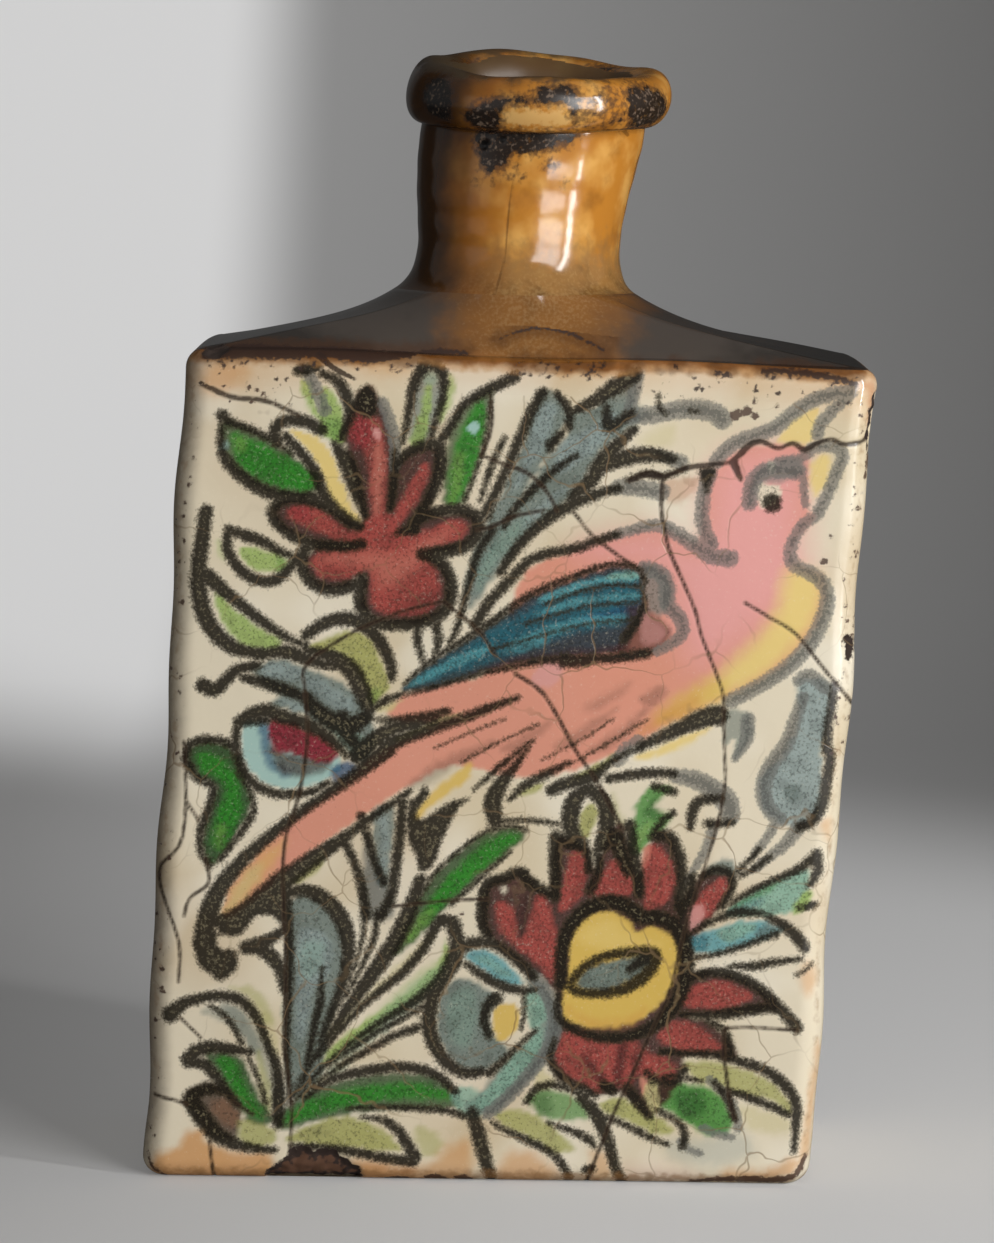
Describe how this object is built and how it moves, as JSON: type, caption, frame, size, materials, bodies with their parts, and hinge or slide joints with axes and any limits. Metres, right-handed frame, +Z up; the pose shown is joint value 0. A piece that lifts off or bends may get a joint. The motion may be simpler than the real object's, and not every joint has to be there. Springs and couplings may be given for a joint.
{
  "type": "slab-built earthenware bottle",
  "caption": "Rectangular slab-built earthenware bottle with a hipped shoulder, short flared neck and rolled rim, leaning slightly; for display or for holding liquid.",
  "frame": {"origin": "centre of the flat foot that the bottle stands on", "axes": "+Z up out of the foot, +X to the right and -Y towards the viewer of the painted front"},
  "size_m": [0.1085, 0.048, 0.17],
  "materials": {
    "ivory_glaze": "crackled ivory glaze over painted slip",
    "amber_glaze": "glossy honey-amber lead glaze",
    "bare_clay": "unglazed fired terracotta"
  },
  "bodies": {
    "root": {"base_slab": "bare_clay", "front_wall": "ivory_glaze", "back_wall": "ivory_glaze", "left_wall": "ivory_glaze", "right_wall": "ivory_glaze", "shoulder": "amber_glaze", "neck": "amber_glaze", "rim": "amber_glaze", "corner_coil_front_left": "bare_clay", "corner_coil_front_right": "bare_clay", "corner_coil_back_left": "bare_clay", "corner_coil_back_right": "bare_clay", "base_coil_front": "bare_clay", "base_coil_back": "bare_clay", "base_coil_left": "bare_clay", "base_coil_right": "bare_clay"}
  },
  "joints": []
}
